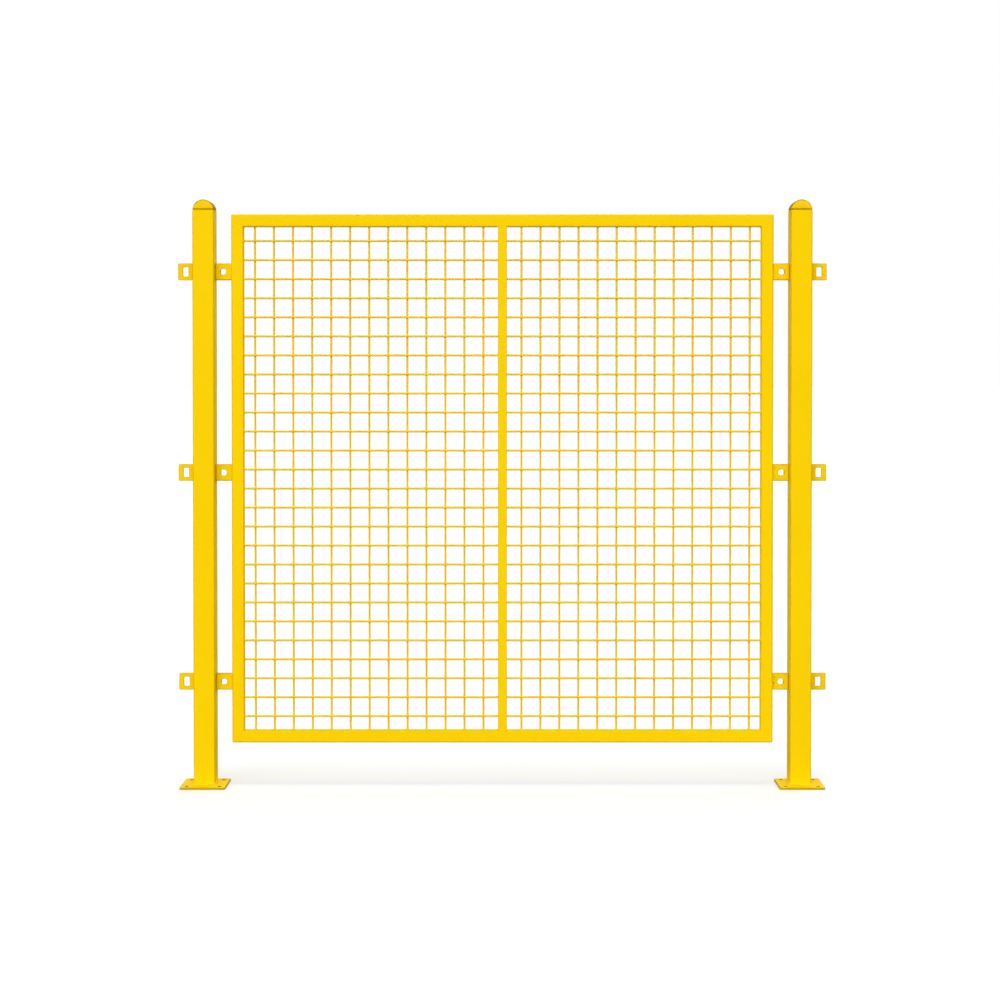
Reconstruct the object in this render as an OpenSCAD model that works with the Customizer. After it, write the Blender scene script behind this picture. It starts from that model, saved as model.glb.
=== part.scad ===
// One bay of a machine guard fence, in millimetres. Two square tube posts stand on floor
// plates, and a framed panel of welded wire mesh is bolted between them by flat ears.
// +Z is up, +X runs along the fence from the left post, and the guarded machine is on the
// +Y side. The origin is on the floor, on the left post's axis.

/* [Panel] */
// Width of the panel over its frame
panel_w = 1508; // [900:1:1800]
// Height of the panel over its frame
panel_h = 1472; // [1100:1:2000]
// Height of the panel's bottom edge above the floor
panel_gap = 119; // [60:1:200]

/* [Frame tube] */
// Width of the frame tube's face
frame_w = 35; // [25:0.5:50]
// Depth of the frame tube, front to back
frame_d = 20; // [15:0.5:30]
// Wall of the frame tube
frame_wall = 1.5; // [1:0.25:2]
// Outer corner radius of the frame tube
frame_r = 4.5; // [2.5:0.25:5]

/* [Centre bar] */
// Width of the flat bar down the middle of the panel
bar_w = 25; // [20:0.5:40]
// Thickness of the flat bar
bar_t = 3; // [2:0.5:4]

/* [Mesh] */
// Width of a wire across its flats
wire_d = 6; // [3:0.25:8]
// Distance from one wire to the next, both ways
mesh_pitch = 53; // [40:1:80]
// How far crossing wires sink into each other at their weld
weld_bite = 0.6; // [0.3:0.1:1]
// Least distance from the frame to the first wire's axis
mesh_edge = 20; // [15:1:30]

/* [Posts] */
// Width and depth of the square post tube
post_w = 60; // [50:1:80]
// Wall of the post tube
post_wall = 2.5; // [2:0.25:4]
// Outer corner radius of the post tube
post_r = 4; // [3:0.25:8]
// How far the post's top stands above the panel's top edge
post_over = 11; // [0:1:100]

/* [Floor plates] */
// Width and depth of the square floor plate
plate_w = 125; // [115:1:180]
// Thickness of the floor plate
plate_t = 6; // [4:1:12]
// Corner radius of the floor plate
plate_r = 3; // [1:0.5:10]
// Distance of the post's axis behind the plate's centre
plate_shift = 10; // [0:1:15]
// Distance between anchor holes, both ways
anchor_pitch = 90; // [86:1:95]
// Diameter of an anchor hole
anchor_d = 9; // [7:0.5:11]

/* [Ears] */
// Width of the gap between a post and the panel's frame
ear_gap = 45; // [35:1:70]
// Clearance at the free end of each ear
ear_clear = 1; // [0.5:0.25:3]
// Height of a post's ear
post_ear_h = 47; // [40:1:70]
// Height of a panel's ear
panel_ear_h = 45; // [36:1:66]
// Thickness of the ears
ear_t = 5; // [3:0.5:6]
// Corner radius at the free end of an ear
ear_r = 3; // [1:0.5:8]
// Width of the slot in a post's ear
slot_w = 15; // [9:0.5:18]
// Height of the slot in a post's ear
slot_h = 26; // [20:0.5:34]
// Corner radius of the slot
slot_r = 2.5; // [1:0.5:4]
// Diameter of the bolt hole in a panel's ear
ear_hole_d = 17; // [9:0.5:20]
// Height of the lower ears' centre above the panel's bottom edge
ear_low = 170; // [100:1:300]
// Distance of the upper ears' centre below the panel's top edge
ear_high = 159; // [100:1:300]
// Height of the middle ears' centre above half the panel's height
ear_mid = 18; // [-100:1:100]

/* [Post caps] */
// Height of the cap's head above its neck
cap_rise = 26.5; // [24:0.5:27]
// Wall of the moulded cap
cap_wall = 3; // [2:0.25:4]
// Rounding of the head's front and back rims
cap_rim_r = 1.5; // [0.5:0.25:3]
// Height of the neck that shows between post and head
neck_h = 2.5; // [1:0.25:5]
// How far the neck stands in from the post's faces
neck_in = 1.5; // [0.5:0.1:1.75]
// Length of the plug inside the post
plug_h = 30; // [20:1:50]
// Clearance between the plug and the inside of the post
plug_clear = 0.4; // [0.2:0.1:0.8]
// Width of the crush ribs that grip the post
rib_w = 2; // [1:0.5:4]

/* [Hidden] */
$fn = 64;

// Posts and panel along X. The panel hangs between x = panel_x and panel_x + panel_w.
panel_x = post_w / 2 + ear_gap;
post_x = [0, 2 * panel_x + panel_w];
mid_x = post_x[1] / 2;
post_top = panel_gap + panel_h + post_over;

// Ears, from their centres' heights. The bolts stand midway between post and panel.
LEVELS = ["lower", "middle", "upper"];
ear_z = [
    panel_gap + ear_low,
    panel_gap + panel_h / 2 + ear_mid,
    panel_gap + panel_h - ear_high
];
ear_l = ear_gap - ear_clear;
bolt_out = ear_gap / 2;

// Inside of the frame, which the mesh fills
inner_w = panel_w - 2 * frame_w;
inner_h = panel_h - 2 * frame_w;
inner_x = panel_x + frame_w;
inner_z = panel_gap + frame_w;

// Depths, from the frame's front: bar, level wires, then upright wires
frame_y = -frame_d / 2;
level_y = frame_y + bar_t + wire_d / 2;
upright_y = level_y + wire_d - weld_bite;

// An odd number of upright wires has one on the middle, behind the bar, and an even
// number of level wires is shared evenly about the panel's half height.
half_n = floor((inner_w / 2 - mesh_edge) / mesh_pitch);
level_n = 2 * floor((inner_h / 2 - mesh_edge) / mesh_pitch + 0.5);
// The mesh's halves meet behind the bar, between the middle wire and the bar's left edge.
seam_x = mid_x - (bar_w + wire_d) / 4;

// Long enough to pass through whatever it cuts
past = 1;

// Rectangle centred on the origin, with its four corners rounded to radius r
module rounded_rect(w, h, r) {
    square([w - 2 * r, h], center = true);
    square([w, h - 2 * r], center = true);
    for (sx = [-1, 1], sy = [-1, 1])
        translate([sx * (w / 2 - r), sy * (h / 2 - r)]) circle(r = r);
}

// Section of a rolled tube: an outline of radius r with an even wall inside it
module tube_section(w, d, wall, r) {
    difference() {
        rounded_rect(w, d, r);
        rounded_rect(w - 2 * wall, d - 2 * wall, r - wall);
    }
}

// Upright square tube from the floor plate to the cap
module post() {
    color("gold")
        translate([0, 0, plate_t])
            linear_extrude(post_top - plate_t)
                tube_section(post_w, post_w, post_wall, post_r);
}

// Floor plate with an anchor hole at each corner. The post stands towards its back.
module base_plate() {
    color("gold")
        translate([0, -plate_shift, 0])
            linear_extrude(plate_t)
                difference() {
                    rounded_rect(plate_w, plate_w, plate_r);
                    for (sx = [-1, 1], sy = [-1, 1])
                        translate([sx, sy] * anchor_pitch / 2) circle(d = anchor_d);
                }
}

// Moulded plug: ribbed skirt in the tube, a neck that leaves a shadow line, and a hollow
// half-round head whose axis runs front to back
module post_cap() {
    head_r = post_w / 2;
    head_z = post_top + neck_h;
    skirt_w = post_w - 2 * post_wall - 2 * plug_clear;
    color("gold") {
        difference() {
            cap_head(head_r, post_w, cap_rim_r, head_z);
            cap_head(head_r - cap_wall, post_w - 2 * cap_wall, cap_rim_r, head_z);
        }
        difference() {
            union() {
                translate([0, 0, post_top])
                    linear_extrude(neck_h)
                        rounded_rect(post_w - 2 * neck_in, post_w - 2 * neck_in, post_r - neck_in);
                translate([0, 0, post_top - plug_h])
                    linear_extrude(plug_h)
                        rounded_rect(skirt_w, skirt_w, post_r - post_wall);
                for (turn = [0:90:270], side = [-1, 1])
                    rotate(turn)
                        translate([side * skirt_w / 4 - rib_w / 2, skirt_w / 2 - past, post_top - plug_h])
                            cube([rib_w, past + plug_clear, plug_h]);
            }
            translate([0, 0, post_top - plug_h - past])
                linear_extrude(plug_h + neck_h + 2 * past)
                    square(skirt_w - 2 * cap_wall, center = true);
        }
    }
}

// The part of a drum lying front to back that stands above height z, with rounded rims. The
// axis of the drum lies post_w / 2 - cap_rise below z, for the inner drum as for the outer.
module cap_head(r, length, rim, z) {
    axis_z = z + cap_rise - post_w / 2;
    intersection() {
        translate([0, 0, axis_z])
            rotate([90, 0, 0])
                rotate_extrude()
                    intersection() {
                        rounded_rect(2 * r, length, rim);
                        translate([0, -length / 2]) square([r, length]);
                    }
        translate([-r - past, -length / 2 - past, z])
            cube([2 * (r + past), length + 2 * past, r + past]);
    }
}

// Ear standing out along +X from x = 0, its section in the XZ plane and its thickness
// along +Y. The free end has rounded corners, and the children are cut out of it.
module ear(length, height) {
    color("gold")
        rotate([90, 0, 0])
            mirror([0, 0, 1])
                linear_extrude(ear_t)
                    difference() {
                        union() {
                            translate([0, -height / 2]) square([length - ear_r, height]);
                            translate([length / 2, 0]) rounded_rect(length, height, ear_r);
                        }
                        children();
                    }
}

// Ear on a post's face, slotted so that the panel can be set to height
module post_ear(x, side, z) {
    translate([x + side * post_w / 2, 0, z])
        mirror([side < 0 ? 1 : 0, 0, 0])
            ear(ear_l, post_ear_h)
                translate([bolt_out, 0]) rounded_rect(slot_w, slot_h, slot_r);
}

// Ear on a stile, with a round bolt hole, lying against the front of the post's ear
module panel_ear(x, side, z) {
    translate([x, -ear_t, z])
        mirror([side < 0 ? 1 : 0, 0, 0])
            ear(ear_l, panel_ear_h)
                translate([bolt_out, 0]) circle(d = ear_hole_d);
}

// Frame tube of the given length along +X, its outer side at z = 0 and the panel's inside
// above it. Both ends are mitred at 45 degrees.
module frame_tube(length) {
    color("gold")
        intersection() {
            translate([0, 0, frame_w / 2])
                rotate([90, 0, 90])
                    linear_extrude(length)
                        tube_section(frame_d, frame_w, frame_wall, frame_r);
            translate([0, frame_d, 0])
                rotate([90, 0, 0])
                    linear_extrude(2 * frame_d)
                        polygon([
                            [0, 0],
                            [length, 0],
                            [length - frame_w, frame_w],
                            [frame_w, frame_w]
                        ]);
        }
}

// Outer form of a level frame tube with nothing inside it, to cope the bar's ends
module rail_form(z) {
    translate([inner_x, 0, z])
        rotate([90, 0, 90])
            linear_extrude(inner_w)
                rounded_rect(frame_d, frame_w, frame_r);
}

// Flat bar, flush with the frame's front and coped over the rails' rounded corners
module centre_bar() {
    color("gold")
        difference() {
            translate([mid_x - bar_w / 2, frame_y, inner_z - frame_r])
                cube([bar_w, bar_t, inner_h + 2 * frame_r]);
            rail_form(panel_gap + frame_w / 2);
            rail_form(panel_gap + panel_h - frame_w / 2);
        }
}

// Eight-sided section of a wire, with flats towards front and back
module wire_section() {
    rotate(22.5) circle(d = wire_d / cos(22.5), $fn = 8);
}

// Half of the mesh: level wires from x0 to x1, with the upright wires numbered first to
// last from the panel's middle welded across the back of them
module mesh(x0, x1, first, last) {
    color("gold") {
        for (i = [0 : level_n - 1])
            translate([x0, level_y, inner_z + inner_h / 2 + (i - (level_n - 1) / 2) * mesh_pitch])
                rotate([90, 0, 90]) linear_extrude(x1 - x0) wire_section();
        for (i = [first : last])
            translate([mid_x + i * mesh_pitch, upright_y, inner_z])
                linear_extrude(inner_h) wire_section();
    }
}

module left_post() { post(); }
module right_post() { translate([post_x[1], 0, 0]) post(); }
module left_post_cap() { post_cap(); }
module right_post_cap() { translate([post_x[1], 0, 0]) post_cap(); }
module left_base_plate() { base_plate(); }
module right_base_plate() { translate([post_x[1], 0, 0]) base_plate(); }
module bottom_rail() { translate([panel_x, 0, panel_gap]) frame_tube(panel_w); }
module top_rail() { translate([panel_x, 0, panel_gap + panel_h]) mirror([0, 0, 1]) frame_tube(panel_w); }
module right_stile() { translate([panel_x + panel_w, 0, panel_gap]) rotate([0, -90, 0]) frame_tube(panel_h); }
module left_stile() { translate([panel_x, 0, panel_gap]) mirror([1, 0, 0]) rotate([0, -90, 0]) frame_tube(panel_h); }
module mesh_left() { mesh(inner_x, seam_x, -half_n, -1); }
module mesh_right() { mesh(seam_x, inner_x + inner_w, 0, half_n); }

left_post();
right_post();
left_post_cap();
right_post_cap();
left_base_plate();
right_base_plate();
top_rail();
bottom_rail();
left_stile();
right_stile();
centre_bar();
mesh_left();
mesh_right();
for (i = [0 : 2]) {
    post_ear(post_x[0], -1, ear_z[i]);
    post_ear(post_x[1], 1, ear_z[i]);
    post_ear(post_x[0], 1, ear_z[i]);
    post_ear(post_x[1], -1, ear_z[i]);
    panel_ear(panel_x, -1, ear_z[i]);
    panel_ear(panel_x + panel_w, 1, ear_z[i]);
}
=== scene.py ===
"""Looks of one machine guard fence bay: two posts on floor plates, with a framed mesh panel between them."""

import math

import bmesh
import bpy
import numpy as np
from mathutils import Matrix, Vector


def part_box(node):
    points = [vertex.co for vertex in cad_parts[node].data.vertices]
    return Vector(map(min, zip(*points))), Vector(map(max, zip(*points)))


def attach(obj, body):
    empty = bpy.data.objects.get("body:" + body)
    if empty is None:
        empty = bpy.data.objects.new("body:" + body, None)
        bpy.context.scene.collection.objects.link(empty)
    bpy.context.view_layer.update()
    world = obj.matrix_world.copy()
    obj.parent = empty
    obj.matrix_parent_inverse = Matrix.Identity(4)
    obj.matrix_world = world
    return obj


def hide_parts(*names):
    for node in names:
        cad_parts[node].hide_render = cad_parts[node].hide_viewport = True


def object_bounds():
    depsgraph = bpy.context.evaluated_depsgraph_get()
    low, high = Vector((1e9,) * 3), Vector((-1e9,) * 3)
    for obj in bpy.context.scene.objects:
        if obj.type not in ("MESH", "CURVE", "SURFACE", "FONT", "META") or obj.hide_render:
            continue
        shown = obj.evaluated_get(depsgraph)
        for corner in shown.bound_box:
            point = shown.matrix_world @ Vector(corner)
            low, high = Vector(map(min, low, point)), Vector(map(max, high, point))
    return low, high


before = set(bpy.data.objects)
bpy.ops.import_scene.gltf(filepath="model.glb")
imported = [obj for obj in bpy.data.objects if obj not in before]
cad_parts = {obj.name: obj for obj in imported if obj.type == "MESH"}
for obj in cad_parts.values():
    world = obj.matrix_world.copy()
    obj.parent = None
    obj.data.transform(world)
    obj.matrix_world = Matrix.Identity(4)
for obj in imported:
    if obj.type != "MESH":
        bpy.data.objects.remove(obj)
cad_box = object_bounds()


# ---- Floor plates -----------------------------------------------------------------------------
# Each post stands on a square of 6 mm steel, laser cut with four anchor holes. The plate's edges
# were dressed before coating, so they are softly rounded. Its outer wall is coloured darker, as
# painted shade, and the holes' walls are near black, partly mill scale on the cut and partly
# painted shade in the holes.

MM = 0.001
SIDES = {"left": -1, "right": 1}
SAME_POINT = 0.002 * MM
ARC_POINTS = 9
SIDE_POINTS = 11
PLATE_EDGE = 1.0 * MM
PLATE_CORNER = 3 * MM
RIM_REACH = 1.8 * MM
RIM_FADE = (0, 0.6, 1, 1, 1, 1)
EDGE_SHARE = 0.3
ANCHOR_R = 4.5 * MM
ANCHOR_REACH = 45 * MM
WALL_BEYOND = 0.2 * MM
WALL_BELOW = 0.4 * MM
CLOUDS = 5
SPECKS = 260
GLOSS_PATCHES = 22
EDGE_PATCHES = 120
PEEL_WAVES = 140
PEEL_RIPPLES = 650
COAT_GLOSS = (0.60, 0.74)
COAT_SHINE = 0.04
PEEL_COARSE = 0.16 * MM
PEEL_FINE = 0.05 * MM
COAT_FULL = (0.956, 0.636, 0.0, 1)
COAT_THIN = (0.905, 0.575, 0.0, 1)
PLATE_FULL = (0.930, 0.645, 0.0, 1)
PLATE_THIN = (0.845, 0.590, 0.0, 1)
PLATE_GLOSS = (0.66, 0.80)
# Edge wear and painted shade: the darker edge tone, also the full colour of the plates' outer wall.
EDGE_WEAR_AND_SHADE = (0.600, 0.390, 0.0, 1)
EDGE_SHADE_THIN = (0.480, 0.300, 0.0, 1)
# Partly mill scale, partly painted shade: the near-black colours of the hole walls.
SCALE_AND_SHADE_DARK = (0.022, 0.007, 0.001, 1)
SCALE_AND_SHADE_PALE = (0.060, 0.022, 0.004, 1)
SCALE_GLOSS = (0.6, 0.8)
SCALE_SHINE = 0.15
CUT_LINES = 900
CUT_RIBS = 0.1 * MM


def new_material(name):
    """A material with its Principled shader, and the node tree and object coordinates to build on."""
    material = bpy.data.materials.new(name)
    material.use_nodes = True
    tree = material.node_tree
    place = tree.nodes.new("ShaderNodeTexCoord").outputs["Object"]
    return material, tree, tree.nodes["Principled BSDF"], place


def spread(tree, value, low, high, new_low, new_high):
    """Takes value's range from low to high over to the range from new_low to new_high."""
    node = tree.nodes.new("ShaderNodeMapRange")
    for socket, bound in zip(("From Min", "From Max", "To Min", "To Max"), (low, high, new_low, new_high)):
        node.inputs[socket].default_value = bound
    tree.links.new(value, node.inputs["Value"])
    return node.outputs["Result"]


def lumps(tree, place, scale, detail, new_low=0.0, new_high=1.0, low=0.32, high=0.68):
    """Smooth noise with scale lumps to the metre, spread from new_low to new_high."""
    node = tree.nodes.new("ShaderNodeTexNoise")
    node.inputs["Scale"].default_value = scale
    node.inputs["Detail"].default_value = detail
    tree.links.new(place, node.inputs["Vector"])
    return spread(tree, node.outputs["Fac"], low, high, new_low, new_high)


def blend(tree, share, first, second):
    """Colour that goes from first to second with share. first may be a colour or a socket."""
    node = tree.nodes.new("ShaderNodeMix")
    node.data_type = "RGBA"
    colours = [socket for socket in node.inputs if socket.type == "RGBA"]
    if isinstance(first, tuple):
        colours[0].default_value = first
    else:
        tree.links.new(first, colours[0])
    colours[1].default_value = second
    tree.links.new(share, node.inputs[0])
    return [socket for socket in node.outputs if socket.type == "RGBA"][0]


def compute(tree, operation, *values):
    """One math node on sockets and numbers."""
    node = tree.nodes.new("ShaderNodeMath")
    node.operation = operation
    for socket, value in zip(node.inputs, values):
        if isinstance(value, (int, float)):
            socket.default_value = value
        else:
            tree.links.new(value, socket)
    return node.outputs["Value"]


def emboss(tree, shader, waves):
    """Chains one bump for each (height, depth in metres, strength) onto the shader's normal."""
    normal = None
    for height, depth, strength in waves:
        bump = tree.nodes.new("ShaderNodeBump")
        bump.inputs["Distance"].default_value = depth
        bump.inputs["Strength"].default_value = strength
        tree.links.new(height, bump.inputs["Height"])
        if normal:
            tree.links.new(normal, bump.inputs["Normal"])
        normal = bump.outputs["Normal"]
    tree.links.new(normal, shader.inputs["Normal"])


def rim_share(tree):
    """Value of the mesh's attribute "rim"."""
    node = tree.nodes.new("ShaderNodeAttribute")
    node.attribute_name = "rim"
    return node.outputs["Fac"]


def powder_coat(name, gloss, peel, full=COAT_FULL, thin=COAT_THIN, corner=None):
    """Baked yellow powder: clouds and specks of thinner coat, uneven gloss, and orange peel of
    7 mm waves with finer ones on them. Along edges the colour darkens in patches, partly as
    edge wear and partly as painted shade of the edges: where the mesh's attribute "rim" rises to 1,
    or the value that corner builds."""
    material, tree, shader, place = new_material(name)
    clouded = blend(tree, lumps(tree, place, CLOUDS, 3, 0, 0.4), full, thin)
    speckled = blend(tree, lumps(tree, place, SPECKS, 1, 0, 0.7, 0.64, 0.84), clouded, thin)
    wear_and_shade_share = corner(tree, place) if corner else rim_share(tree)
    # Edge wear and painted shade: edges darken towards the edge tone in patches.
    worn_and_shaded = compute(tree, "MULTIPLY", wear_and_shade_share, lumps(tree, place, EDGE_PATCHES, 2, 0.55, 1.0))
    tree.links.new(blend(tree, worn_and_shaded, speckled, EDGE_WEAR_AND_SHADE), shader.inputs["Base Color"])
    tree.links.new(lumps(tree, place, GLOSS_PATCHES, 3, *gloss), shader.inputs["Roughness"])
    shader.inputs["Specular IOR Level"].default_value = COAT_SHINE
    coarse = lumps(tree, place, PEEL_WAVES, 2)
    fine = lumps(tree, place, PEEL_RIPPLES, 1)
    emboss(tree, shader, [(coarse, PEEL_COARSE, peel), (fine, PEEL_FINE, peel)])
    return material


def laser_cut(name):
    """Near-black cut wall, partly brown mill scale and partly painted shade of a deep hole, with fine
    ribs down the cut.
    """
    material, tree, shader, place = new_material(name)
    ribs = lumps(tree, place, CUT_LINES, 3)
    tree.links.new(blend(tree, ribs, SCALE_AND_SHADE_DARK, SCALE_AND_SHADE_PALE), shader.inputs["Base Color"])
    tree.links.new(spread(tree, ribs, 0, 1, *SCALE_GLOSS), shader.inputs["Roughness"])
    shader.inputs["Specular IOR Level"].default_value = SCALE_SHINE
    emboss(tree, shader, [(ribs, CUT_RIBS, 0.6)])
    return material


def quads_over(points, closed_rows, closed_columns):
    """Corner numbers of the quads over stacked grids points[copy, row, column]. A closed direction
    joins its last line of points to its first."""
    copies, rows, columns, _ = points.shape
    copy, row, column = np.meshgrid(
        np.arange(copies),
        np.arange(rows if closed_rows else rows - 1),
        np.arange(columns if closed_columns else columns - 1),
        indexing="ij",
    )
    steps = ((0, 0), (1, 0), (1, 1), (0, 1))
    ring = []
    for down, along in steps:
        line = copy * rows + (row + down) % rows
        ring.append(line * columns + (column + along) % columns)
    return np.stack(ring, axis=-1).reshape(-1, 4)


def make_piece(name, grids, materials, drop=None, rim=None):
    """One object from a list of (points, closed_rows, closed_columns) grids. Quads for which drop is
    true are left out, points that coincide are merged, which closes seams and poles, and faces
    are turned outwards. rim lists, for each grid, its columns' values of the attribute rim."""
    quads = []
    places = []
    count = 0
    for points, closed_rows, closed_columns in grids:
        quads.append(quads_over(points, closed_rows, closed_columns) + count)
        places.append(points.reshape(-1, 3))
        count += len(places[-1])
    quads = np.concatenate(quads)
    places = np.concatenate(places)
    if drop is not None:
        quads = quads[~drop(places[quads])]
    mesh = bpy.data.meshes.new(name)
    mesh.vertices.add(count)
    mesh.vertices.foreach_set("co", places.astype(np.float32).ravel())
    mesh.loops.add(quads.size)
    mesh.loops.foreach_set("vertex_index", quads.astype(np.int32).ravel())
    mesh.polygons.add(len(quads))
    mesh.polygons.foreach_set("loop_start", np.arange(0, quads.size, 4, dtype=np.int32))
    mesh.update(calc_edges=True)
    if rim is not None:
        rows = [points.size // 3 // len(values) for values, (points, *_) in zip(rim, grids)]
        values = np.concatenate([np.tile(values, times) for values, times in zip(rim, rows)])
        mesh.attributes.new("rim", "FLOAT", "POINT").data.foreach_set("value", values.astype(np.float32))
    shell = bmesh.new()
    shell.from_mesh(mesh)
    bmesh.ops.remove_doubles(shell, verts=shell.verts, dist=SAME_POINT)
    bmesh.ops.recalc_face_normals(shell, faces=shell.faces)
    shell.to_mesh(mesh)
    shell.free()
    mesh.polygons.foreach_set("use_smooth", np.ones(len(mesh.polygons), dtype=bool))
    for material in materials:
        mesh.materials.append(material)
    piece = bpy.data.objects.new(name, mesh)
    bpy.context.scene.collection.objects.link(piece)
    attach(piece, "root")
    return piece


def even_faces(piece):
    """Lets the large flat faces set the shading normals, so that only the rounded edges bend light."""
    weighted = piece.modifiers.new("even_faces", "WEIGHTED_NORMAL")
    weighted.weight = 100
    weighted.keep_sharp = False
    return piece


def box_outline(left, right, bottom, top, radii):
    """Points round a box, from its lower right corner anticlockwise. Every corner is an arc of
    ARC_POINTS with its own radius, and every side has SIDE_POINTS more, so outlines match point
    for point."""
    swing = np.linspace(0, math.pi / 2, ARC_POINTS)
    along = np.linspace(0, 1, SIDE_POINTS + 2)[1:-1, None]
    corners = ((right, bottom), (right, top), (left, top), (left, bottom))
    arcs = []
    for turn, (x, y), radius in zip(range(4), corners, radii):
        inward = np.array([-1 if x == right else 1, -1 if y == top else 1])
        angle = swing + (turn - 1) * math.pi / 2
        arcs.append(np.array([x, y]) + radius * (inward + np.stack([np.cos(angle), np.sin(angle)], axis=-1)))
    sides = [arcs[k][-1] * (1 - along) + arcs[(k + 1) % 4][0] * along for k in range(4)]
    return np.concatenate([line for pair in zip(arcs, sides) for line in pair])


def round_hole(outline, centre, radius):
    """Points on a circle, each at the angle at which centre sees the outline's point."""
    away = outline - centre
    return centre + radius * away / np.linalg.norm(away, axis=1, keepdims=True)


def holed_plate(outline, hole, bottom, top, edge):
    """Closed grid on a flat plate with one hole. Its rows go round the outline, and its columns
    follow the plate's section: up the outer wall, in over the top face, down the hole's wall
    and back under, with a quarter turn at each edge. outline(inset) and hole(outset) give points.
    Also gives the columns' values for the attribute rim: RIM_FADE runs from the flat beside an
    edge into its quarter turn."""
    swing = np.linspace(0, math.pi / 2, len(RIM_FADE) - 1)
    late = edge * (1 - np.cos(swing))
    early = late[::-1]
    beside = np.array([edge + RIM_REACH])
    walls = [
        (outline, np.concatenate([beside, early]), np.concatenate([[bottom], bottom + late])),
        (outline, np.concatenate([late, beside]), np.concatenate([top - early, [top]])),
        (hole, np.concatenate([beside, early]), np.concatenate([[top], top - late])),
        (hole, np.concatenate([late, beside]), np.concatenate([bottom + early, [bottom]])),
    ]
    columns = [np.insert(shape(inset), 2, height, axis=1) for shape, insets, heights in walls
               for inset, height in zip(insets, heights)]
    return np.stack(columns, axis=1), np.array((RIM_FADE + RIM_FADE[::-1]) * 2)


def plate_quarters(half, thick):
    """Grids of a plate's four quarters about its middle, each with its anchor hole. A quarter's two
    inner sides lie on the plate's middle lines. Also gives the values of the attribute rim."""

    def outline(inset):
        return box_outline(0, half - inset, 0, half - inset, (0, PLATE_CORNER - inset, 0, 0))

    def hole(outset):
        return round_hole(outline(PLATE_EDGE), np.full(2, ANCHOR_REACH), ANCHOR_R + outset)

    quarter, rim = holed_plate(outline, hole, 0, thick, PLATE_EDGE)
    signs = np.array([[1, 1, 1], [-1, 1, 1], [-1, -1, 1], [1, -1, 1]])
    return quarter * signs[:, None, None, :], rim


def on_middle_line(corners):
    """True for each quad that stands on one of the plate's middle lines, inside the steel."""
    return (np.abs(corners[:, :, :2]) < SAME_POINT).all(axis=1).any(axis=1)


def face_middles(piece):
    """The middle point of every face."""
    middles = np.zeros(len(piece.data.polygons) * 3, dtype=np.float32)
    piece.data.polygons.foreach_get("center", middles)
    return middles.reshape(-1, 3)


# The plates' rims darken as edge wear and painted shade.
plate_coat = powder_coat("plate_coat", PLATE_GLOSS, 0.8, PLATE_FULL, PLATE_THIN)
# Painted shade: the plates' outer wall takes a darker copy of the coat.
plate_edge_shade_coat = powder_coat("plate_edge_shade_coat", COAT_GLOSS, 0.9, EDGE_WEAR_AND_SHADE, EDGE_SHADE_THIN)
# Partly mill scale, partly painted shade in the anchor holes.
hole_wall_scale_and_shade = laser_cut("hole_wall_scale_and_shade")

for side in SIDES:
    low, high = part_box(f"{side}_base_plate")
    half = (high.x - low.x) / 2
    quarters, rim = plate_quarters(half, high.z)
    grids = [(quarters, True, True)]
    finishes = [plate_coat, hole_wall_scale_and_shade, plate_edge_shade_coat]
    plate = make_piece(f"{side}_floor_plate", grids, finishes, on_middle_line, [rim])
    middles = face_middles(plate)
    from_hole = np.linalg.norm(np.abs(middles[:, :2]) - ANCHOR_REACH, axis=1)
    in_hole = (from_hole < ANCHOR_R + WALL_BEYOND) & (middles[:, 2] < high.z - WALL_BELOW)
    on_edge = np.abs(middles[:, :2]).max(axis=1) > half - EDGE_SHARE * PLATE_EDGE
    # Hole walls take the near-black scale and painted shade, the outer wall the painted-shade coat.
    plate.data.polygons.foreach_set("material_index", (in_hole + 2 * on_edge).astype(np.int32))
    shift = np.array([(low.x + high.x) / 2, (low.y + high.y) / 2, 0])
    places = np.zeros(len(plate.data.vertices) * 3, dtype=np.float32)
    plate.data.vertices.foreach_get("co", places)
    plate.data.vertices.foreach_set("co", (places.reshape(-1, 3) + shift).astype(np.float32).ravel())
    plate.data.update()
    even_faces(plate)
    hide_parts(f"{side}_base_plate")


# ---- Posts ------------------------------------------------------------------------------------
# Square steel tube with rolled corners, cut square and set on the plate. One fillet weld runs
# right round its foot, and the powder lies over the weld's ripples.

POST_CORNER = 4 * MM
CORNER_WEAR_AND_SHADE = 0.6
CORNER_RISE = 0.12
FOOT_LEG = 3.5 * MM
BEAD_STEP = 0.4 * MM
BEAD_POINTS = 8
RIPPLE = 2.4 * MM
RIPPLE_DEPTH = 0.10
RIPPLE_LAG = 0.45
RIPPLE_BLUNT = 0.7
DRIFT = 9 * MM
DRIFT_DEPTH = 0.05
STRAIGHT_SHARE = 0.6
TAPER = 1.5
ROOT_DEPTH = 0.12
WELD_GLOSS = (0.62, 0.76)


def even_steps(path, step, closed):
    """The same path with points a step apart, found by running evenly along its length. Also gives
    the length, and each point's share of it."""
    if closed:
        path = np.concatenate([path, path[:1]])
    run = np.concatenate([[0], np.cumsum(np.linalg.norm(np.diff(path, axis=0), axis=1))])
    share = np.linspace(0, 1, max(int(run[-1] / step), 8) + 1)
    if closed:
        share = share[:-1]
    even = [np.interp(share * run[-1], run, line) for line in path.T]
    return np.stack(even, axis=-1), run[-1], share


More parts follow.
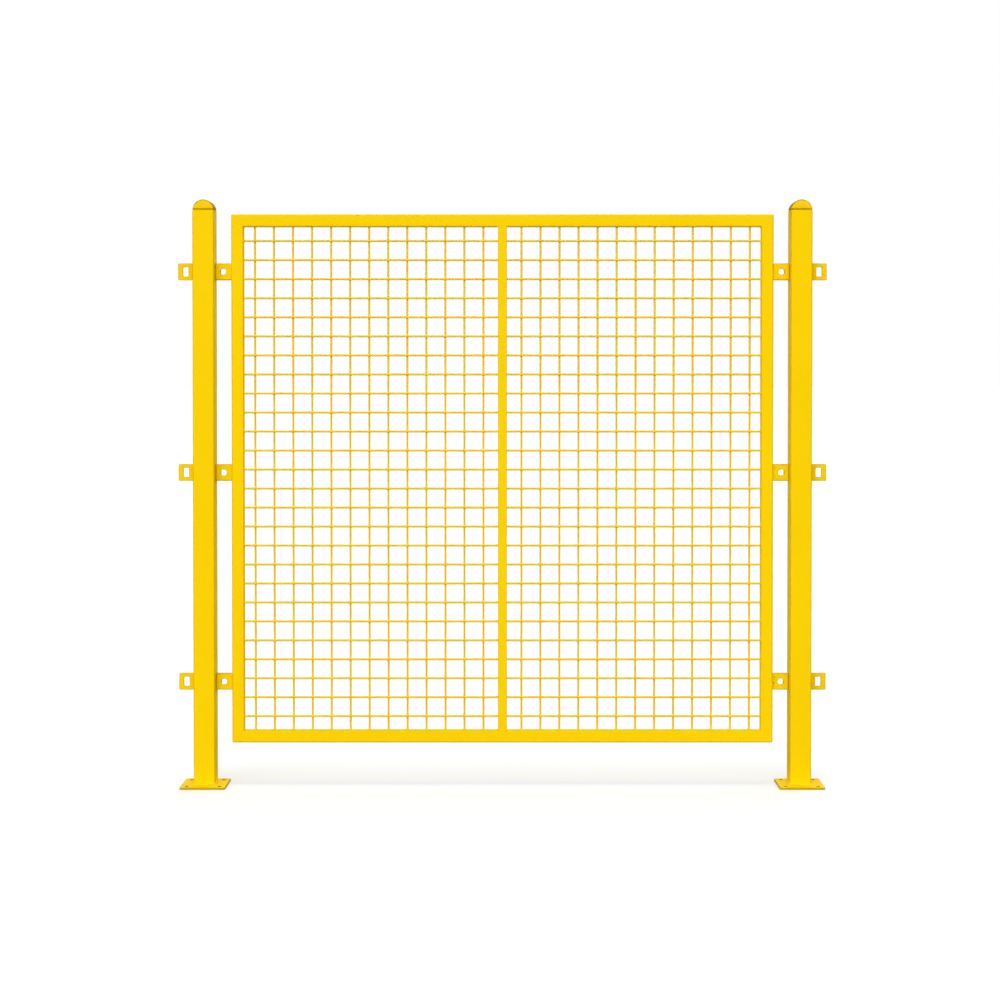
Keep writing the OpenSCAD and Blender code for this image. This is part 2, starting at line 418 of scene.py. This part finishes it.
def weld_bead(path, length, share, first, second, leg, closed, phase):
    """Grid of a fillet weld. At each point of the path the section swings from the direction first
    to the direction second at a distance that lies between a straight and a round fillet. The
    distance rises and falls once for every ripple, later at the section's middle, which makes
    crescents, and drifts in a wave of about 9 mm that begins at phase. An open bead tapers at both
    ends, by a quarter circle over TAPER legs. The section closes a little way inside the steel."""
    swing = np.linspace(0, math.pi / 2, BEAD_POINTS)
    ripples = max(round(length / RIPPLE), 1)
    late = RIPPLE_LAG * np.sin(2 * swing)
    wave = np.abs(np.sin(math.pi * (ripples * share[:, None] - late))) ** RIPPLE_BLUNT
    drifts = max(round(length / DRIFT), 1)
    drift = DRIFT_DEPTH * np.sin(2 * math.pi * drifts * share + phase)
    fillet = STRAIGHT_SHARE / (np.cos(swing) + np.sin(swing)) + (1 - STRAIGHT_SHARE)
    away = leg * fillet * (1 - RIPPLE_DEPTH + RIPPLE_DEPTH * wave + drift[:, None])
    if not closed:
        to_end = np.minimum(share, 1 - share) * length / (TAPER * leg)
        away = away * np.sqrt(1 - (1 - np.clip(to_end, 0, 1)) ** 2)[:, None]
    across = np.cos(swing)[:, None] * first[:, None] + np.sin(swing)[:, None] * second[:, None]
    root = -ROOT_DEPTH * away[:, :1, None] * (first + second)[:, None]
    return path[:, None] + np.concatenate([root, away[..., None] * across], axis=1)


def axes(tree, place):
    """The X, Y and Z of a place, by name."""
    node = tree.nodes.new("ShaderNodeSeparateXYZ")
    tree.links.new(place, node.inputs["Vector"])
    return node.outputs


def post_corner(tree, place):
    """Share of edge wear and painted shade: rises from 0 on the posts' flat sides to
    CORNER_WEAR_AND_SHADE on their rolled corners. It goes by how far a point lies inside the nearer
    of the two faces that meet there, which is nothing on the flat sides. The right post is the left
    one mirrored at the bay's middle."""
    parts = axes(tree, place)
    low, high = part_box("left_post")
    half = (high.x - low.x) / 2
    centre = (low.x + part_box("right_post")[1].x) / 2
    off_centre = compute(tree, "ABSOLUTE", compute(tree, "SUBTRACT", parts["X"], centre))
    across = compute(tree, "ABSOLUTE", compute(tree, "SUBTRACT", off_centre, centre - low.x - half))
    along = compute(tree, "ABSOLUTE", parts["Y"])
    outermost = compute(tree, "MAXIMUM", across, along)
    return spread(tree, outermost, half, half - CORNER_RISE * POST_CORNER, 0, CORNER_WEAR_AND_SHADE)


def recoat(node, material):
    """Gives a tube that stays as it is its finish."""
    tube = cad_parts[node]
    tube.data.materials.clear()
    tube.data.materials.append(material)


# The posts' rolled corners darken as edge wear and painted shade.
post_coat = powder_coat("post_coat", COAT_GLOSS, 0.6, corner=post_corner)
weld_coat = powder_coat("weld_coat", WELD_GLOSS, 0.9)

for side in SIDES:
    recoat(f"{side}_post", post_coat)
    low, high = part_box(f"{side}_post")
    outline = box_outline(low.x, high.x, low.y, high.y, [POST_CORNER] * 4)
    foot, length, share = even_steps(outline, BEAD_STEP, True)
    ahead = np.roll(foot, -1, axis=0) - np.roll(foot, 1, axis=0)
    ahead /= np.linalg.norm(ahead, axis=1, keepdims=True)
    outward = np.stack([ahead[:, 1], -ahead[:, 0], np.zeros(len(foot))], axis=-1)
    upward = np.tile([0.0, 0.0, 1.0], (len(foot), 1))
    foot = np.concatenate([foot, np.full((len(foot), 1), low.z)], axis=1)
    bead = weld_bead(foot, length, share, upward, outward, FOOT_LEG, True, 0)
    make_piece(f"{side}_foot_weld", [(bead[None], True, True)], [weld_coat])


# ---- Post caps --------------------------------------------------------------------------------
# Injection moulded plastic plugs pushed into the open tops of the posts, each with a half-round
# head. Its end faces are smooth and its barrel is duller. The barrel is coloured darker as painted
# shade, a low neck coloured darker as painted shade in its recess parts it from the tube, and the
# head's rim is darkened towards the top as painted shade.

CAP_R = 30 * MM
CAP_HEAD = 26.5 * MM
CAP_RIM = 2.2 * MM
CAP_CROWN = 0.7 * MM
CROWN_RINGS = (0.0, 0.35, 0.7, 0.92)
CAP_SEAM = 0.25 * MM
CAP_TURN = 6
HEAD_EYE = 10 * MM
HEAD_POINTS = 144
HEAD_SHARPNESS = 40
NECK_TALL = 2.5 * MM
NECK_IN = 1.5 * MM
NECK_INTO_HEAD = 1.0 * MM
CAP_FACE = (0.930, 0.612, 0.0, 1)
CAP_CLOUD = (0.870, 0.552, 0.0, 1)
# Painted shade on the head's rim, darker towards the top.
CAP_RIM_SHADE = (0.260, 0.180, 0.002, 1)
CAP_SHADED_RIM = [0, 0, 0, 0, 0.5, 1, 1, 1, 1, 0.6, 0, 0, 0.3, 0.6]
RIM_SHADE_FROM = 0.8
RIM_SHADE_FULL = 0.3
RIM_SHADE_LEAST = 0.35
FACE_GLOSS = (0.50, 0.62)
FACE_SHINE = 0.07
DULL_GLOSS = (0.70, 0.84)
DULL_SHINE = 0.02
CAP_CLOUDS = 60
CAP_PATCHES = 90
GRAINS = 1500
PLASTIC_GRAIN = 0.03 * MM
# Painted shade: the barrel is coloured darker than the end faces.
BARREL_SHADE_FULL = (0.490, 0.335, 0.002, 1)
BARREL_SHADE_CLOUD = (0.410, 0.275, 0.002, 1)
# Painted shade: the neck is coloured darker, standing for shade in its recess.
NECK_SHADE_FULL = (0.850, 0.500, 0.0, 1)
NECK_SHADE_CLOUD = (0.720, 0.420, 0.0, 1)


def moulding(name, full, cloud, gloss, shine, grain):
    """Moulded plastic: soft clouds in the colour, uneven gloss, and a fine spark-eroded grain.
    Painted shade darkens it in patches where the mesh's attribute "rim" rises to 1, and more on
    the way up, from RIM_SHADE_FROM to RIM_SHADE_FULL of the head's height below its top."""
    material, tree, shader, place = new_material(name)
    clouded = blend(tree, lumps(tree, place, CAP_CLOUDS, 3, 0, 0.7), full, cloud)
    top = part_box("left_post_cap")[1].z
    shade_least_z, shade_full_z = top - RIM_SHADE_FROM * CAP_HEAD, top - RIM_SHADE_FULL * CAP_HEAD
    height = spread(tree, axes(tree, place)["Z"], shade_least_z, shade_full_z, RIM_SHADE_LEAST, 1)
    # Painted shade along the rim, in patches, growing towards the top.
    shaded_rim_patches = compute(tree, "MULTIPLY", rim_share(tree), lumps(tree, place, EDGE_PATCHES, 2, 0.7, 1.0))
    painted_rim_shade = compute(tree, "MULTIPLY", shaded_rim_patches, height)
    tree.links.new(blend(tree, painted_rim_shade, clouded, CAP_RIM_SHADE), shader.inputs["Base Color"])
    tree.links.new(lumps(tree, place, CAP_PATCHES, 2, *gloss), shader.inputs["Roughness"])
    shader.inputs["Specular IOR Level"].default_value = shine
    emboss(tree, shader, [(lumps(tree, place, GRAINS, 2), PLASTIC_GRAIN, grain)])
    return material


def head_outline(inset):
    """Points round the head's section, seen from a point HEAD_EYE above its flat underside. In each
    direction the distance is the smooth minimum of the distances to the arc and to the underside:
    the sum of their inverses' 40th powers, to the power of -1/40."""
    angle = np.linspace(0, 2 * math.pi, HEAD_POINTS, endpoint=False) - math.pi / 2
    over_axis = HEAD_EYE + CAP_R - CAP_HEAD
    radius = CAP_R - inset
    to_arc = np.sqrt(radius**2 - (over_axis * np.cos(angle)) ** 2) - over_axis * np.sin(angle)
    by_under = np.maximum(-np.sin(angle), 0) / (HEAD_EYE - inset)
    away = (to_arc**-float(HEAD_SHARPNESS) + by_under**HEAD_SHARPNESS) ** (-1 / HEAD_SHARPNESS)
    return np.stack([away * np.cos(angle), HEAD_EYE + away * np.sin(angle)], axis=-1)


def head_columns(depth):
    """The inset and the distance from the middle of each column of the head, from the front rim to
    the back one: a quarter turn at each rim, and a seam standing proud at the barrel's middle."""
    turn = np.linspace(0, math.pi / 2, CAP_TURN)
    inset = CAP_SEAM + (CAP_RIM - CAP_SEAM) * (1 - np.sin(turn))
    reach = depth - CAP_RIM * (1 - np.cos(turn))
    flat = np.array([0.5 * depth, 2.5 * MM, 0.9 * MM, 0.3 * MM])
    inset = np.concatenate([inset, [CAP_SEAM, CAP_SEAM, CAP_SEAM, 0.0]])
    reach = np.concatenate([reach[:-1], [depth - CAP_RIM], flat])
    return np.concatenate([inset, inset[::-1]]), np.concatenate([-reach, reach[::-1]])


def cap_head(depth):
    """Grid of the head, from the middle of its underside. A row goes round the section, and the
    columns go from the middle of the front face out to the rim, along the barrel, and in over the
    back face. CAP_SHADED_RIM has the painted-shade rim values of the columns as far as the seam.
    Each face is crowned: it stands proudest at its middle, and falls by the square of the way
    to the rim."""
    inset, reach = head_columns(depth)
    middle = np.array([0, HEAD_EYE])
    spokes = head_outline(CAP_RIM) - middle
    front = [(middle + share * spokes, reach[0] - CAP_CROWN * (1 - share**2)) for share in CROWN_RINGS]
    barrel = [(head_outline(inward), away) for inward, away in zip(inset, reach)]
    back = [(flat, -away) for flat, away in front[::-1]]
    return np.stack([np.insert(flat, 1, away, axis=1) for flat, away in front + barrel + back], axis=1)


def cap_neck(wide):
    """Grid of the square neck from the same middle: its end, its wall and its other end, which lies
    inside the head. Both ends run in to a point."""
    section = box_outline(-wide, wide, -wide, wide, [POST_CORNER - NECK_IN] * 4)
    levels = (-NECK_TALL, NECK_INTO_HEAD)
    walls = [np.insert(section, 2, level, axis=1) for level in levels]
    ends = [np.broadcast_to([0, 0, level], walls[0].shape) for level in levels]
    return np.stack([ends[0], *walls, ends[1]], axis=1)


face_plastic = moulding("cap_face", CAP_FACE, CAP_CLOUD, FACE_GLOSS, FACE_SHINE, 0.5)
# Painted shade on the barrel.
shaded_barrel_plastic = moulding("cap_barrel_painted_shade", BARREL_SHADE_FULL, BARREL_SHADE_CLOUD, DULL_GLOSS, DULL_SHINE, 0.9)
# Painted shade in the neck's recess.
shaded_neck_plastic = moulding("cap_neck", NECK_SHADE_FULL, NECK_SHADE_CLOUD, DULL_GLOSS, DULL_SHINE, 0.9)

for side in SIDES:
    node = f"{side}_post_cap"
    low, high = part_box(node)
    post_low, post_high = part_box(f"{side}_post")
    middle = np.array([(low.x + high.x) / 2, (low.y + high.y) / 2, post_high.z + NECK_TALL])
    depth = (high.y - low.y) / 2
    head = cap_head(depth) + middle
    neck = cap_neck((post_high.x - post_low.x) / 2 - NECK_IN) + middle
    grids = [(head[None], True, False), (neck[None], True, False)]
    rim = [CAP_SHADED_RIM + CAP_SHADED_RIM[::-1], [0] * 4]
    cap = make_piece(f"{side}_round_cap", grids, [face_plastic, shaded_barrel_plastic, shaded_neck_plastic], rim=rim)
    off_middle = face_middles(cap) - middle
    on_barrel = np.abs(off_middle[:, 1]) < depth - EDGE_SHARE * CAP_RIM
    below = off_middle[:, 2] < 0.05 * MM
    cap.data.polygons.foreach_set("material_index", np.where(below, 2, on_barrel).astype(np.int32))
    even_faces(cap)
    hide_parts(node)


# ---- Post ears --------------------------------------------------------------------------------
# Flat 5 mm lugs with an upright slot, three on each side of a post. Each is welded to the tube
# along its back only, so that a panel's ear can lie flat against its front.

LEVELS = ("lower", "middle", "upper")
EAR_EDGE = 1.1 * MM
EAR_CORNER = 3 * MM
EAR_ROOT = 1.2 * MM
EAR_LEG = 3 * MM
BEAD_SHORT = 2 * MM
EAR_FULL = (0.915, 0.605, 0.0, 1)
EAR_THIN = (0.850, 0.540, 0.0, 1)
SLOT = (15 * MM, 26 * MM, 2.5 * MM)
BOLT_REACH = 22.5 * MM


def ear_plate(node, outward, hole_of):
    """Closed grid of an ear that stands out from its root along outward times x. Its outline runs on
    a little way into the tube, and hole_of(outline, outset) gives the hole's points."""
    low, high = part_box(node)
    length = high.x - low.x
    tall = (high.z - low.z) / 2
    root = low.x if outward > 0 else high.x

    def outline(inset):
        radii = (EAR_CORNER - inset, EAR_CORNER - inset, 0, 0)
        return box_outline(-EAR_ROOT, length - inset, inset - tall, tall - inset, radii)

    def hole(outset):
        return hole_of(outline(EAR_EDGE), outset)

    grid, rim = holed_plate(outline, hole, low.y, high.y, EAR_EDGE)
    across, upright, depth = grid[..., 0], grid[..., 1], grid[..., 2]
    placed = np.stack([root + outward * across, depth, upright + (low.z + high.z) / 2], axis=-1)
    return placed[None], rim


def slot_hole(outline, outset):
    """The slot's outline, grown by outset."""
    wide, tall, corner = SLOT
    left = BOLT_REACH - wide / 2 - outset
    right = BOLT_REACH + wide / 2 + outset
    return box_outline(left, right, -tall / 2 - outset, tall / 2 + outset, [corner + outset] * 4)


def straight_bead(start, end, first, second, leg, phase):
    """Grid of an open weld bead along the line from start to end, whose drift begins at phase."""
    path, length, share = even_steps(np.array([start, end]), BEAD_STEP, False)
    first = np.tile(np.array(first, dtype=float), (len(path), 1))
    second = np.tile(np.array(second, dtype=float), (len(path), 1))
    return weld_bead(path, length, share, first, second, leg, False, phase)[None], False, True


# The ears' rims darken as edge wear and painted shade.
ear_coat = powder_coat("ear_coat", COAT_GLOSS, 0.6, EAR_FULL, EAR_THIN)
beads = []
for side, facing in SIDES.items():
    for place_on_post, outward in (("outer", facing), ("inner", -facing)):
        for level in LEVELS:
            node = f"{side}_{place_on_post}_ear_{level}"
            grid, rim = ear_plate(node, outward, slot_hole)
            ear = make_piece(f"{node}_lug", [(grid, True, True)], [ear_coat], rim=[rim])
            even_faces(ear)
            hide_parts(node)
            low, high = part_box(node)
            root = low.x if outward > 0 else high.x
            start = (root, high.y, low.z + BEAD_SHORT)
            end = (root, high.y, high.z - BEAD_SHORT)
            phase = 40 * high.z + root
            beads.append(straight_bead(start, end, (0, 1, 0), (outward, 0, 0), EAR_LEG, phase))
make_piece("post_ear_welds", beads, [weld_coat])


# ---- Panel frame ------------------------------------------------------------------------------
# Rectangular steel tube mitred at the corners. The face welds are ground flush before coating, and
# only a short fillet is left in each inner corner.

TUBE_CORNER = 4.5 * MM
CORNER_LEG = 2.4 * MM
CORNER_REACH = 5 * MM


def frame_corner(tree, place):
    """As post_corner, for the frame's members together. Across them the distance is the one to the
    frame's outer or inner outline, whichever is nearer."""
    parts = axes(tree, place)
    low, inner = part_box("left_stile")
    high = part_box("right_stile")[1]
    wide = inner.x - low.x
    inset = []
    for axis, least, most in (("X", low.x, high.x), ("Z", low.z, high.z)):
        off_middle = compute(tree, "SUBTRACT", parts[axis], (least + most) / 2)
        away = compute(tree, "ABSOLUTE", off_middle)
        inset.append(compute(tree, "SUBTRACT", (most - least) / 2, away))
    outer = compute(tree, "MINIMUM", *inset)
    nearer = compute(tree, "MINIMUM", outer, compute(tree, "SUBTRACT", wide, outer))
    face = compute(tree, "SUBTRACT", high.y, compute(tree, "ABSOLUTE", parts["Y"]))
    inside = compute(tree, "MINIMUM", nearer, face)
    return spread(tree, inside, 0, CORNER_RISE * TUBE_CORNER, 0, CORNER_WEAR_AND_SHADE)


# The frame's rolled corners darken as edge wear and painted shade.
frame_coat = powder_coat("frame_coat", COAT_GLOSS, 0.6, corner=frame_corner)
for node in ("bottom_rail", "top_rail", "left_stile", "right_stile"):
    recoat(node, frame_coat)

beads = []
for x, across in ((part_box("left_stile")[1].x, 1), (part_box("right_stile")[0].x, -1)):
    for z, upright in ((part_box("bottom_rail")[1].z, 1), (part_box("top_rail")[0].z, -1)):
        start = (x, -CORNER_REACH, z)
        end = (x, CORNER_REACH, z)
        beads.append(straight_bead(start, end, (across, 0, 0), (0, 0, upright), CORNER_LEG, 9 * z + x))
make_piece("frame_corner_welds", beads, [weld_coat])


# ---- Mesh -------------------------------------------------------------------------------------
# Drawn 6 mm wires, resistance welded where they cross, so that each pair sinks together with a
# small collar of squeezed metal. The ends are welded to the inner faces of the frame.

WIRE_R = 3 * MM
PITCH = 53 * MM
UPRIGHTS = 27
LEVEL_WIRES = 26
BITE = 0.6 * MM
ROOT_IN = 1.0 * MM
SWELL = 0.12 * MM
SWELL_REACH = 3 * MM
FLARE = 1.3 * MM
FLARE_REACH = 0.7 * MM
WIRE_SIDES = 10
SPOT_SIZE = (4.0 * MM, 1.4 * MM, 4.0 * MM)
SPOT_VARY = 0.08
SPOT_SEED = 5
SPOT_RINGS = 6
SPOT_SIDES = 8
WIRE_GLOSS = (0.66, 0.80)
# Painted shade: the wires take a darker copy of the coat's yellow, standing for shade on thin round wires.
WIRE_SHADED_FULL = (0.880, 0.605, 0.0, 1)
WIRE_SHADED_THIN = (0.830, 0.550, 0.0, 1)

low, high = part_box("mesh_left")
inner_left, inner_bottom, inner_top = low.x, low.z, high.z
inner_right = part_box("mesh_right")[1].x
level_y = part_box("centre_bar")[1].y + WIRE_R
upright_y = level_y + 2 * WIRE_R - BITE
middle_x = (inner_left + inner_right) / 2
middle_z = (inner_bottom + inner_top) / 2
upright_x = middle_x + PITCH * (np.arange(UPRIGHTS) - (UPRIGHTS - 1) / 2)
level_z = middle_z + PITCH * (np.arange(LEVEL_WIRES) - (LEVEL_WIRES - 1) / 2)


def wire_profile(start, end, crossings):
    """Stations along a wire and its radius at each. The radius swells a little at every crossing and
    flares into the weld at both ends, where it then closes to a point inside the tube's wall."""
    steps = np.array([-5.0, -2.0, 2.0, 5.0]) * MM
    collar = np.array([0, 0.5, 1.2, 2.4, 6.0]) * MM
    between = (crossings[:, None] + steps).ravel()
    first = [start - ROOT_IN] * 2
    last = [end + ROOT_IN] * 2
    stations = np.concatenate([first, start + collar, between, end - collar[::-1], last])
    to_crossing = np.abs(stations[:, None] - crossings).min(axis=1)
    to_end = np.maximum(np.minimum(stations - start, end - stations), 0)
    swell = SWELL * np.exp(-((to_crossing / SWELL_REACH) ** 2))
    radius = WIRE_R + swell + FLARE * np.exp(-to_end / FLARE_REACH)
    radius[[0, -1]] = 0
    return stations, radius


def wires(stations, radius, centres, upright):
    """Stacked grids of round wires: a circle of the given radius at every station, for each centre."""
    angle = np.linspace(0, 2 * math.pi, WIRE_SIDES, endpoint=False) + math.pi / WIRE_SIDES
    sideways = radius[:, None] * np.cos(angle)
    depth = radius[:, None] * np.sin(angle)
    across = centres[:, None, None] + sideways
    along = stations[:, None] + 0 * across
    if upright:
        return np.stack([across, upright_y + depth + 0 * across, along], axis=-1)
    return np.stack([along, level_y + depth + 0 * across, across], axis=-1)


def weld_spots(x, z):
    """Stacked grids of flattened drops of metal between the wires, one at every crossing: an
    ellipsoid whose three sizes each vary by up to SPOT_VARY of themselves."""
    rise = np.linspace(-math.pi / 2, math.pi / 2, SPOT_RINGS)
    angle = np.linspace(0, 2 * math.pi, SPOT_SIDES, endpoint=False) + math.pi / SPOT_SIDES
    across = np.outer(np.cos(rise), np.cos(angle))
    upright = np.outer(np.cos(rise), np.sin(angle))
    depth = np.outer(np.sin(rise), np.ones(SPOT_SIDES))
    drop = np.stack([across, depth, upright], axis=-1)
    grid_x, grid_z = (line.ravel() for line in np.meshgrid(x, z))
    least, most = 1 - SPOT_VARY, 1 + SPOT_VARY
    factors = np.random.default_rng(SPOT_SEED).uniform(least, most, (len(grid_x), 3))
    sizes = np.array(SPOT_SIZE) * factors
    middle = np.stack([grid_x, np.full(len(grid_x), (level_y + upright_y) / 2), grid_z], axis=-1)
    return middle[:, None, None] + drop * sizes[:, None, None]


# Painted shade: a darker copy of the coat for the wires and weld spots.
wire_coat = powder_coat("wire_coat", WIRE_GLOSS, 0.25, WIRE_SHADED_FULL, WIRE_SHADED_THIN)
level_wires = wires(*wire_profile(inner_left, inner_right, upright_x), level_z, False)
upright_wires = wires(*wire_profile(inner_bottom, inner_top, level_z), upright_x, True)
grids = [(level_wires, False, True), (upright_wires, False, True)]
mesh_wires = make_piece("mesh_wires", grids, [wire_coat])
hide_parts("mesh_left", "mesh_right")
make_piece("mesh_weld_spots", [(weld_spots(upright_x, level_z), False, True)], [wire_coat])


# ---- Centre bar -------------------------------------------------------------------------------
# Flat steel, 25 by 3 mm with rolled edges, let in flush with the front of the frame and welded to
# both rails along its back. The level wires pass behind it.

BAR_EDGE = 0.7 * MM
BAR_WEAR_AND_SHADE = 0.6
BAR_LEG = 2.4 * MM
BAR_SHORT = 1 * MM
BAR_LEVELS = 30

low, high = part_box("centre_bar")
section = box_outline(low.x, high.x, low.y, high.y, [BAR_EDGE] * 4)
heights = np.linspace(inner_bottom - TUBE_CORNER, inner_top + TUBE_CORNER, BAR_LEVELS)
sides = np.broadcast_to(section, (len(heights), *section.shape))
walls = np.concatenate([sides, np.broadcast_to(heights[:, None, None], (*sides.shape[:2], 1))], axis=-1)
middle = np.array([(low.x + high.x) / 2, (low.y + high.y) / 2])
ends = [np.broadcast_to([*middle, height], (1, len(section), 3)) for height in (heights[0], heights[-1])]
bar_coat = powder_coat("bar_coat", COAT_GLOSS, 0.6)
grid = np.concatenate([ends[0], walls, ends[1]])[None]
# Edge wear and painted shade along the bar's rolled edges.
on_edge = np.tile(np.repeat([BAR_WEAR_AND_SHADE, 0.0], [ARC_POINTS, SIDE_POINTS]), 4)
bar = make_piece("centre_bar_flat", [(grid, False, True)], [bar_coat], rim=[on_edge])
even_faces(bar)
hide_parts("centre_bar")

beads = []
for z, upright in ((inner_bottom, 1), (inner_top, -1)):
    for left, right in ((low.x + BAR_SHORT, middle_x - WIRE_R), (middle_x + WIRE_R, high.x - BAR_SHORT)):
        start = (left, high.y, z)
        end = (right, high.y, z)
        beads.append(straight_bead(start, end, (0, 1, 0), (0, 0, upright), BAR_LEG, 9 * z + left))
make_piece("centre_bar_welds", beads, [weld_coat])


# ---- Panel ears -------------------------------------------------------------------------------
# Flat 5 mm lugs with a round bolt hole, welded to the stiles along their front only. Bolted
# up, each lies against the front of a post's ear.

BOLT_HOLE_R = 8.5 * MM
PANEL_LEG = 2.6 * MM
PANEL_LEAN = 0.12


def bolt_hole(outline, outset):
    """The bolt hole's circle, grown by outset."""
    return round_hole(outline, np.array([BOLT_REACH, 0]), BOLT_HOLE_R + outset)


beads = []
for side, outward in SIDES.items():
    for level in LEVELS:
        node = f"{side}_panel_ear_{level}"
        grid, rim = ear_plate(node, outward, bolt_hole)
        ear = make_piece(f"{node}_lug", [(grid, True, True)], [ear_coat], rim=[rim])
        even_faces(ear)
        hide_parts(node)
        low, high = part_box(node)
        root = low.x if outward > 0 else high.x
        start = (root, low.y, low.z + BEAD_SHORT)
        end = (root, low.y, high.z - BEAD_SHORT)
        against = (-PANEL_LEAN * outward, -1, 0)
        beads.append(straight_bead(start, end, against, (outward, 0, 0), PANEL_LEG, 31 * high.z))
make_piece("panel_ear_welds", beads, [weld_coat])


# ---- Floor, light and camera ------------------------------------------------------------------
# A white floor runs on into a white room with two broad bright screens, a strong low one in front
# and a weaker one behind, and a soft lamp overhead. The floor keeps only the fence's soft shadow.

FLOOR_SEEN = (0.945, 0.968, 1.0, 1)
FLOOR_CAST = (0.22, 0.22, 0.22, 1)
FLOOR_HALF = 300
ROOM_LIGHT = 0.30
SCREENS = ((-11, -12, 5.10), (165, 4, 2.40))
SCREEN_EDGE = 3
LAMP_STRENGTH = 0.33
LAMP_ANGLE = 20
LAMP_TILT = 3
LENS = 71.75
STAND_BACK = 5.554
EYE_HEIGHT = 1.172
LOOK_DOWN = 1.0
LENS_SHIFT = (-0.0024, -0.10)


def from_lens(tree):
    """1 for rays that come from the camera or by way of gloss or glass, and 0 for the rest."""
    path = tree.nodes.new("ShaderNodeLightPath")
    seen = path.outputs["Is Camera Ray"]
    for other in ("Is Glossy Ray", "Is Transmission Ray"):
        seen = compute(tree, "MAXIMUM", seen, path.outputs[other])
    return seen


floor_material, tree, shader, place = new_material("floor")
tree.links.new(blend(tree, from_lens(tree), FLOOR_CAST, FLOOR_SEEN), shader.inputs["Base Color"])
shader.inputs["Roughness"].default_value = 1
shader.inputs["Specular IOR Level"].default_value = 0
mesh = bpy.data.meshes.new("floor")
corners = [(x * FLOOR_HALF, y * FLOOR_HALF, 0) for x, y in ((-1, -1), (1, -1), (1, 1), (-1, 1))]
mesh.from_pydata(corners, [], [(0, 1, 2, 3)])
mesh.materials.append(floor_material)
floor = bpy.data.objects.new("floor", mesh)
bpy.context.scene.collection.objects.link(floor)

world = bpy.data.worlds.new("studio")
world.use_nodes = True
bpy.context.scene.world = world
tree = world.node_tree
background = tree.nodes["Background"]
background.inputs["Color"].default_value = (1, 1, 1, 1)
glow = ROOM_LIGHT
for azimuth, elevation, strength in SCREENS:
    azimuth, elevation = math.radians(azimuth), math.radians(elevation)
    facing = tree.nodes.new("ShaderNodeVectorMath")
    facing.operation = "DOT_PRODUCT"
    facing.inputs[1].default_value = (
        math.sin(azimuth) * math.cos(elevation),
        -math.cos(azimuth) * math.cos(elevation),
        math.sin(elevation),
    )
    tree.links.new(tree.nodes.new("ShaderNodeTexCoord").outputs["Generated"], facing.inputs[0])
    lobe = compute(tree, "POWER", compute(tree, "MAXIMUM", facing.outputs["Value"], 0), SCREEN_EDGE)
    glow = compute(tree, "MULTIPLY_ADD", lobe, strength, glow)
cast = tree.nodes.new("ShaderNodeMix")
cast.inputs["B"].default_value = 1
tree.links.new(glow, cast.inputs["A"])
tree.links.new(from_lens(tree), cast.inputs["Factor"])
tree.links.new(cast.outputs["Result"], background.inputs["Strength"])

lamp = bpy.data.lights.new("overhead", "SUN")
lamp.energy = LAMP_STRENGTH * math.pi
lamp.angle = math.radians(LAMP_ANGLE)
holder = bpy.data.objects.new("overhead", lamp)
holder.rotation_euler = (math.radians(LAMP_TILT), 0, 0)
bpy.context.scene.collection.objects.link(holder)

camera = bpy.data.cameras.new("camera")
camera.lens = LENS
camera.shift_x, camera.shift_y = LENS_SHIFT
camera.clip_end = 100
holder = bpy.data.objects.new("camera", camera)
holder.location = ((cad_box[0].x + cad_box[1].x) / 2, -STAND_BACK, EYE_HEIGHT)
holder.rotation_euler = (math.radians(90 - LOOK_DOWN), 0, 0)
bpy.context.scene.collection.objects.link(holder)
bpy.context.scene.camera = holder
bpy.context.scene.view_settings.view_transform = "Standard"
